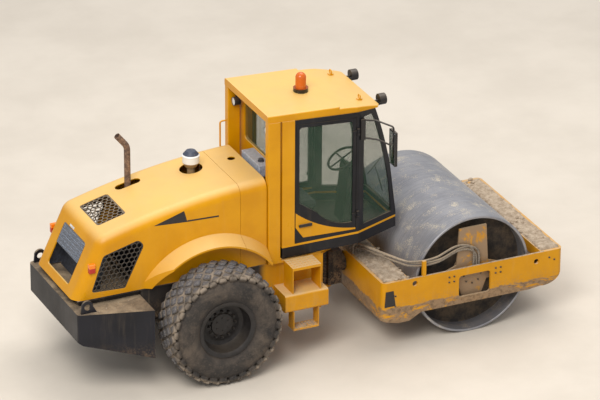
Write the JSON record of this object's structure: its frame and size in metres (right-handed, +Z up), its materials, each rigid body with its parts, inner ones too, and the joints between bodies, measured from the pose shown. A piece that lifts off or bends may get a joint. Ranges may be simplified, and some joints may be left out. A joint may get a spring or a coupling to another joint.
{
  "type": "road roller",
  "caption": "Single-drum articulated road roller with a steel drum in a box frame, closed cab with doors, sloping engine hood, counterweight and rear drive tyres.",
  "frame": {"origin": "on the ground under the middle of the machine", "axes": "+X forwards to the drum, +Y to the left, +Z up"},
  "size_m": [6.341, 2.3404, 3.4264],
  "materials": {
    "drum_steel": "worn steel with mud specks",
    "yellow_frame": "dusty yellow paint with mud",
    "yellow_paint": "yellow paint, dusty on top",
    "black_paint": "black paint, light dust",
    "black_steel": "black paint, worn",
    "rubber_black": "matt",
    "hose_rubber": "dusty rubber",
    "dark_cast": "dark blue-grey paint, dusty",
    "tyre_rubber": "dusty tread with packed mud",
    "dark_rim": "dark paint with dust",
    "black_mesh": "black mesh",
    "radiator_metal": "dusty fins",
    "rusty_pipe": "rusted pipe",
    "white_plastic": "dusty white",
    "lamp_lens": "amber and red lens",
    "green_glass": "green tinted",
    "seat_fabric": "dark cloth",
    "black_plastic": "matt",
    "amber_plastic": "amber dome",
    "grey_plastic": "dusty grey"
  },
  "bodies": {
    "rear_frame": {"access_steps": "yellow_frame", "air_precleaner": "white_plastic", "beacon": "amber_plastic", "cab_floor": "black_paint", "cab_front": "black_paint", "cab_glass": "green_glass", "cab_mounts": "rubber_black", "cab_rear": "yellow_paint", "chassis": "yellow_frame", "console": "black_plastic", "counterweight": "dark_cast", "engine": "dark_cast", "exhaust_stack": "rusty_pipe", "heater_box": "grey_plastic", "hood": "yellow_paint", "hood_cowl": "yellow_paint", "hood_grilles": "black_mesh", "mirrors": "black_plastic", "radiator": "radiator_metal", "rear_axle": "dark_cast", "roof": "yellow_paint", "rops_posts": "yellow_paint", "seat_base": "black_steel", "seat_cushions": "seat_fabric", "tail_lamps": "lamp_lens", "tanks": "yellow_frame", "work_lamps": "black_plastic"},
    "drum_frame": {"drum_frame": "yellow_frame", "drum_carriers": "yellow_frame", "drum_buffers": "rubber_black", "scrapers": "black_steel", "drum_hoses": "hose_rubber"},
    "hitch": {"hitch": "black_steel"},
    "drum": {"drum": "drum_steel"},
    "wheel_left": {"tyre_left": "tyre_rubber", "rim_left": "dark_rim"},
    "wheel_right": {"tyre_right": "tyre_rubber", "rim_right": "dark_rim"},
    "door_left": {"door_frame_left": "black_paint", "door_panel_left": "yellow_paint", "door_glass_left": "green_glass"},
    "door_right": {"door_frame_right": "black_paint", "door_panel_right": "yellow_paint", "door_glass_right": "green_glass"}
  },
  "joints": [
    {"name": "steer", "type": "hinge", "parent": "rear_frame", "child": "hitch", "pos_m": [0.42, 0, 0.75], "axis": [0, 0, 1], "range_deg": [-35, 35]},
    {"name": "oscillate", "type": "hinge", "parent": "hitch", "child": "drum_frame", "pos_m": [0.6, 0, 0.75], "axis": [1, 0, 0], "range_deg": [-10, 10]},
    {"name": "drum_roll", "type": "hinge", "parent": "drum_frame", "child": "drum", "pos_m": [1.948, 0, 0.782], "axis": [0, 1, 0], "continuous": true},
    {"name": "wheel_left_spin", "type": "hinge", "parent": "rear_frame", "child": "wheel_left", "pos_m": [-1.376, 0.905, 0.745], "axis": [0, 1, 0], "continuous": true},
    {"name": "wheel_right_spin", "type": "hinge", "parent": "rear_frame", "child": "wheel_right", "pos_m": [-1.376, -0.905, 0.745], "axis": [0, 1, 0], "continuous": true},
    {"name": "door_left_swing", "type": "hinge", "parent": "rear_frame", "child": "door_left", "pos_m": [0.56, 0.668, 2.25], "axis": [0, 0, -1], "range_deg": [0, 85]},
    {"name": "door_right_swing", "type": "hinge", "parent": "rear_frame", "child": "door_right", "pos_m": [0.56, -0.668, 2.25], "axis": [0, 0, 1], "range_deg": [0, 85]}
  ]
}
